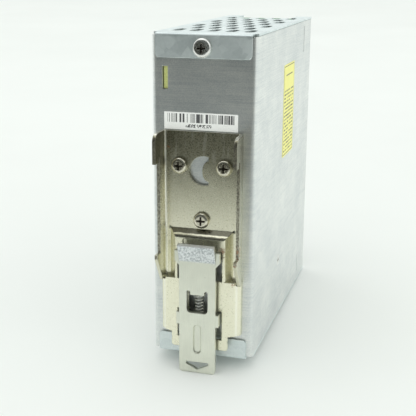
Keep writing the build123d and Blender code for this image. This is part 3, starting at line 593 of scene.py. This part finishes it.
def moulded(name, dark, light, targets, rough=0.42, size=0.3, depth=0.02):
    """Plain engineering plastic: slight flow clouding and a fine mould grain."""
    finish = Finish(name)
    grain = finish.noise(size, 3.0)
    flow = finish.noise(5.0, 4.0, (1.0, 1.0, 0.5))
    finish.link(finish.ramp(grain * 0.35 + flow * 0.65, [(0.3, dark), (0.7, light)]), "Base Color")
    finish.link(rough - 0.06 + grain * 0.14, "Roughness")
    finish.wear(grain, 0.4, depth, 0.0003)
    finish.apply(*targets)


moulded_panel()
tinted_lamp()
moulded("trimmer housing plastic", (0.02, 0.09, 0.32), (0.05, 0.16, 0.46), ["trimmer_body"])
moulded("trimmer shaft plastic", (0.66, 0.64, 0.56), (0.80, 0.78, 0.70), ["trimmer_shaft"])

# ---- Terminal blocks and contact bars ----
# The blocks are moulded in green plastic, with faint knit lines.
# The bars are brass under a dull tin plate that is scratched where wires were clamped.


def tinned_brass():
    finish = Finish("tin plated brass", Metallic=0.95)
    drawn = finish.noise(0.4, 3.0, (2.0, 2.0, 0.2))
    worn = finish.rise(finish.noise(1.1, 4.0, shift=(2.0, 3.0, 5.0)), 0.55, 0.68)
    tin = finish.ramp(drawn, [(0.3, (0.60, 0.60, 0.57)), (0.7, (0.78, 0.78, 0.75))])
    finish.link(finish.mix(worn * 0.7, tin, (0.62, 0.44, 0.16)), "Base Color")
    finish.link(0.26 + drawn * 0.2, "Roughness")
    finish.wear(drawn, 0.3, 0.01, 0.0001)
    finish.apply("output_contacts", "input_contacts")


moulded(
    "terminal block plastic", (0.03, 0.17, 0.075), (0.06, 0.27, 0.12), ["output_block", "input_block"], 0.36
)
tinned_brass()

# ---- Circuit boards and insulation ----
# Glass laminate under green solder mask, with tinned pads and tracks. The sawn edge of the
# laminate is bare and pale yellow. A milky film keeps the solder side off the case.


def circuit_board(name, target, along, across, edge):
    """Along and across name the two axes of the board's face; edge is the axis of its thickness."""
    finish = Finish(name)
    axes = {"x": finish.x, "y": finish.y, "z": finish.z}
    normal = dict(zip("xyz", finish.parts(finish.facing)))
    weave = finish.noise(0.25, 2.0)
    clouds = finish.noise(8.0, 3.0)
    mask = finish.ramp(clouds * 0.6 + weave * 0.4, [(0.3, (0.018, 0.11, 0.035)), (0.7, (0.045, 0.2, 0.06))])
    # Tracks: straight runs in a coarse grid, broken where the chance value says so.
    lane = axes[along].math("FLOOR", axes[along] / 3.2)
    run = axes[across].math("FLOOR", axes[across] / 9.0)
    pick = finish.node("CombineXYZ", {}, {0: lane, 1: run})
    chance = finish.node("TexWhiteNoise", {"noise_dimensions": "2D"}, {"Vector": pick})
    in_lane = axes[along].math("FRACT", axes[along] / 3.2)
    track = finish.between(in_lane, 0.3, 0.7, 0.04) * chance.math("GREATER_THAN", chance, 0.45)
    pads = finish.cells(4.2, stretch=(1.0, 1.0, 1.0))
    pad = finish.rise(pads, 0.12, 0.16, 1.0, 0.0)
    colour = finish.mix(track * 0.55, mask, (0.07, 0.30, 0.10))
    colour = finish.mix(pad, colour, (0.62, 0.62, 0.58))
    bare = 1.0 - finish.rise(abs(normal[edge]), 0.5, 0.8)
    fibres = finish.ramp(finish.noise(0.3, 3.0), [(0.3, (0.50, 0.53, 0.17)), (0.7, (0.72, 0.74, 0.32))])
    finish.link(finish.mix(bare, colour, fibres), "Base Color")
    finish.link(pad * (1.0 - bare) * 0.9, "Metallic")
    finish.link(0.3 + weave * 0.12 + bare * 0.35, "Roughness")
    finish.wear(track + pad * 1.4 + weave * 0.2, 0.5, 0.04, 0.0001)
    finish.apply(target)


def insulating_film():
    finish = Finish("milky insulating film", Transmission_Weight=0.25)
    haze = finish.noise(5.0, 4.0)
    finish.link(finish.ramp(haze, [(0.3, (0.74, 0.73, 0.66)), (0.7, (0.86, 0.85, 0.78))]), "Base Color")
    finish.link(0.28 + haze * 0.2, "Roughness")
    finish.wear(haze, 0.1, 0.03, 0.00005)
    finish.apply("insulating_sheet")


circuit_board("main board laminate", "main_board", "y", "z", "x")
circuit_board("front board laminate", "front_board", "x", "z", "y")
insulating_film()

# ---- Wound parts ----
# Cores of grey ferrite or coated iron powder, coils of enamelled copper laid side by side, and a
# transformer winding wrapped in yellow polyester tape on a dark bobbin.


def sintered_core(name, dark, light, target, rough):
    finish = Finish(name)
    pits = finish.cells(0.5)
    clouds = finish.noise(3.0, 4.0)
    finish.link(finish.ramp(clouds * 0.7 + pits * 0.4, [(0.3, dark), (0.75, light)]), "Base Color")
    finish.link(rough + pits * 0.1, "Roughness")
    finish.wear(finish.rise(pits, 0.0, 0.25), 0.4, 0.03, 0.0004)
    finish.apply(target)


def copper_coil(name, target, centre, plane_axes, turns):
    """Turns that fan out round the ring's middle; plane_axes are the two axes the ring lies in."""
    finish = Finish(name, Metallic=0.85, Coat_Weight=0.6, Coat_Roughness=0.12)
    axes = {"x": finish.x - centre[0], "y": finish.y - centre[1], "z": finish.z - centre[2]}
    first, second = plane_axes
    angle = axes[first].math("ARCTAN2", axes[first], axes[second])
    turn = angle.math("SINE", angle * float(turns))
    ridge = 1.0 - finish.rise(abs(turn), 0.0, 0.6, 1.0, 0.0)
    tint = finish.noise(1.5, 3.0)
    copper = finish.ramp(tint, [(0.3, (0.44, 0.15, 0.05)), (0.7, (0.72, 0.30, 0.12))])
    # Painted shade in the gaps between turns.
    finish.link(finish.mix((1.0 - ridge) * 0.8, copper, (0.10, 0.03, 0.01)), "Base Color")
    finish.link(0.2 + tint * 0.15, "Roughness")
    finish.wear(ridge, 0.9, 0.3, 0.0003)
    finish.apply(target)


def winding_tape():
    finish = Finish("yellow winding tape", Coat_Roughness=0.2)
    lap = finish.z.math("FRACT", (finish.z + finish.noise(6.0, 2.0) * 1.2) / 6.4)
    seam = finish.between(lap, 0.46, 0.5, 0.02)
    film = finish.noise(2.5, 4.0)
    tape = finish.ramp(film, [(0.3, (0.72, 0.50, 0.06)), (0.7, (0.88, 0.66, 0.14))])
    finish.link(finish.mix(seam * 0.6, tape, (0.35, 0.22, 0.03)), "Base Color")
    finish.link(0.22 + film * 0.14, "Roughness")
    finish.wear(film * 0.3 + seam, 0.5, 0.06, 0.0003)
    finish.apply("transformer_winding")


ferrite = ((0.035, 0.035, 0.038), (0.085, 0.085, 0.09))
sintered_core("transformer ferrite", *ferrite, "transformer_core", 0.55)
sintered_core("choke ferrite", *ferrite, "line_choke_core", 0.5)
sintered_core("coated iron powder", (0.50, 0.46, 0.06), (0.72, 0.67, 0.14), "output_choke_core", 0.42)
copper_coil("line choke copper", "line_choke_winding", middle_of("line_choke_core"), "xz", 44)
copper_coil("output choke copper", "output_choke_winding", middle_of("output_choke_core"), "yz", 38)
winding_tape()
moulded("phenolic bobbin", (0.03, 0.022, 0.018), (0.075, 0.055, 0.04), ["transformer_bobbin"], 0.34)

# ---- Capacitors, fuse and thermistor ----
# Aluminium cans in shrunk sleeves with a pale polarity stripe, a boxed film capacitor, a ceramic
# fuse with plated caps and a dipped disc. Print is reduced to plain stripes and blocks.


def sleeved_cans():
    finish = Finish("shrunk capacitor sleeve", Coat_Weight=0.35, Coat_Roughness=0.15)
    crease = finish.noise(1.6, 4.0, (0.2, 1.0, 1.0))
    sleeve = finish.ramp(crease, [(0.3, (0.018, 0.022, 0.045)), (0.7, (0.04, 0.048, 0.085))])
    stripe = finish.rise(finish.parts(finish.facing)[2], 0.86, 0.9)
    dash = finish.x.math("FRACT", finish.x / 4.0)
    mark = stripe * (1.0 - finish.between(dash, 0.3, 0.7, 0.04) * 0.7)
    colour = finish.mix(mark * 0.85, sleeve, (0.62, 0.66, 0.72))
    end = finish.rise(abs(finish.parts(finish.facing)[0]), 0.85, 0.95)
    colour = finish.mix(end, colour, (0.66, 0.67, 0.68))
    finish.link(colour, "Base Color")
    finish.link(end * 0.85, "Metallic")
    finish.link(0.26 + crease * 0.14, "Roughness")
    finish.wear(crease, 0.4, 0.05, 0.0003)
    finish.apply("bulk_capacitor", "output_capacitors")


def ceramic_fuse():
    finish = Finish("ceramic fuse with plated caps")
    middle = middle_of("fuse")[2]
    cap = finish.rise(abs(finish.z - middle), 4.3, 4.5)
    speck = finish.noise(0.5, 4.0)
    clay = finish.ramp(speck, [(0.3, (0.72, 0.69, 0.60)), (0.7, (0.84, 0.82, 0.74))])
    finish.link(finish.mix(cap, clay, (0.70, 0.69, 0.65)), "Base Color")
    finish.link(cap * 0.95, "Metallic")
    finish.link(0.5 + speck * 0.14 - cap * 0.25, "Roughness")
    finish.wear(speck, 0.3, 0.02, 0.0002)
    finish.apply("fuse")


sleeved_cans()
ceramic_fuse()
moulded("film capacitor case", (0.52, 0.36, 0.045), (0.70, 0.52, 0.10), ["line_capacitor"], 0.4)
moulded("dipped disc coat", (0.02, 0.07, 0.035), (0.04, 0.13, 0.06), ["thermistor"], 0.3, 1.2, 0.08)

# ---- Power devices, pads and heatsinks ----
# Black epoxy bodies with a plated tab, grey silicone pads under them, and extruded aluminium
# angles with die lines that run along their length.


def power_body():
    finish = Finish("epoxy body with plated tab")
    grain = finish.noise(0.3, 3.0)
    epoxy = finish.ramp(grain, [(0.3, (0.02, 0.02, 0.021)), (0.7, (0.045, 0.045, 0.047))])
    tab = finish.rise(finish.x, -6.05, -6.0, 1.0, 0.0)
    lead = finish.rise(finish.x, 8.5, 8.55)
    metal = finish.both(tab, lead)
    finish.link(finish.mix(metal, epoxy, (0.66, 0.65, 0.62)), "Base Color")
    finish.link(metal * 0.95, "Metallic")
    finish.link(0.5 + grain * 0.12 - metal * 0.2, "Roughness")
    finish.wear(grain, 0.4, 0.02, 0.0002)
    finish.apply("switching_transistor", "output_rectifiers", "bridge_rectifier")


def extruded_aluminium():
    finish = Finish("extruded aluminium", Metallic=0.92)
    die = finish.noise(0.4, 3.0, (2.5, 0.04, 2.5))
    clouds = finish.noise(6.0, 3.0)
    colour = finish.ramp(die * 0.6 + clouds * 0.4, [(0.3, (0.52, 0.53, 0.54)), (0.7, (0.74, 0.75, 0.76))])
    finish.link(colour, "Base Color")
    finish.link(0.3 + die * 0.16, "Roughness")
    finish.wear(die, 0.4, 0.02, 0.0003)
    finish.apply("primary_heatsink", "output_heatsink")


power_body()
extruded_aluminium()
moulded("silicone pad", (0.30, 0.32, 0.36), (0.42, 0.45, 0.49), ["thermal_pads"], 0.62, 0.5, 0.03)

# ---- Floor, light and camera ----
# The unit stands on the tail of its latch and the front edge of its bottom cover, on a pale
# sheet under soft light. A dark card in front of the camera, which only reflections see,
# darkens the faces that are turned to it.

rest_rear = Vector((0.0, latch_low[1] + latch_tail_rear, latch_low[2]))
rest_front = Vector((0.0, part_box("bottom_cover")[0][1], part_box("bottom_cover")[0][2]))
floor_slope = math.atan2(rest_front.z - rest_rear.z, rest_rear.y - rest_front.y)


def stage_sheet(name, width, depth, place, turn, dark, light, rough):
    """A flat sheet of the set, with a soft tone of its own."""
    sheet = bmesh.new()
    bmesh.ops.create_grid(sheet, x_segments=24, y_segments=24, size=0.5)
    bmesh.ops.scale(sheet, vec=(width, depth, 1.0), verts=sheet.verts)
    bmesh.ops.rotate(sheet, cent=(0, 0, 0), matrix=turn, verts=sheet.verts)
    bmesh.ops.translate(sheet, vec=place, verts=sheet.verts)
    mesh = bpy.data.meshes.new(name)
    sheet.to_mesh(mesh)
    sheet.free()
    made = bpy.data.objects.new(name, mesh)
    bpy.context.scene.collection.objects.link(made)
    finish = Finish(name + " paper", Specular_IOR_Level=0.12)
    clouds = finish.noise(180.0, 3.0)
    finish.link(finish.ramp(clouds, [(0.3, dark), (0.7, light)]), "Base Color")
    finish.link(rough + clouds * 0.1, "Roughness")
    mesh.materials.append(finish.material)
    return made


floor_turn = Matrix.Rotation(-floor_slope, 3, "X")
stage_sheet(
    "floor",
    14.0,
    14.0,
    rest_rear - Vector((0, 0, 0.0002)),
    floor_turn,
    (0.885, 0.90, 0.88),
    (0.91, 0.925, 0.905),
    0.8,
)
card = stage_sheet(
    "grey card", 1.6, 1.0, Vector((0.05, 0.27, 0.38)), Matrix.Rotation(math.radians(90), 3, "X"),
    (0.07, 0.074, 0.072), (0.10, 0.105, 0.10), 0.8,
)
card.visible_camera = False
card.visible_diffuse = False
card.visible_shadow = False

world = bpy.data.worlds.new("soft tent")
world.use_nodes = True
background = world.node_tree.nodes["Background"]
background.inputs["Color"].default_value = (0.93, 0.965, 0.94, 1.0)
background.inputs["Strength"].default_value = 1.01
bpy.context.scene.world = world


def soft_light(name, place, target, size, power, colour):
    """A square soft box that points at the target."""
    lamp = bpy.data.lights.new(name, "AREA")
    lamp.shape = "SQUARE"
    lamp.size = size
    lamp.energy = power
    lamp.color = colour
    holder = bpy.data.objects.new(name, lamp)
    holder.location = place
    aim = Vector(target) - Vector(place)
    holder.rotation_mode = "QUATERNION"
    holder.rotation_quaternion = aim.to_track_quat("-Z", "Y")
    bpy.context.scene.collection.objects.link(holder)


soft_light("side box", (-1.8, 0.1, 1.3), (0, -0.05, 0), 1.8, 3.0, (1.0, 0.995, 0.98))
soft_light("top box", (0.5, -0.2, 1.9), (0, -0.05, 0), 1.6, 4.0, (0.98, 0.99, 1.0))

camera_place = Vector((-0.09041, 0.30122, 0.08714))
camera_azimuth = math.radians(196.02)
camera_elevation = math.radians(15.61)
camera_roll = math.radians(0.28)
back = Vector(
    (
        math.sin(camera_azimuth) * math.cos(camera_elevation),
        -math.cos(camera_azimuth) * math.cos(camera_elevation),
        math.sin(camera_elevation),
    )
)
camera = bpy.data.objects.new("camera", bpy.data.cameras.new("camera"))
camera.data.sensor_width = 36.0
camera.data.lens = 76.1
camera.data.clip_start = 0.01
camera.data.clip_end = 50.0
camera.location = camera_place
camera.rotation_mode = "QUATERNION"
camera_aim = (-back).to_track_quat("-Z", "Y")
camera.rotation_quaternion = Matrix.Rotation(camera_roll, 3, back).to_quaternion() @ camera_aim
bpy.context.scene.collection.objects.link(camera)
bpy.context.scene.camera = camera
bpy.context.scene.view_settings.view_transform = "Standard"
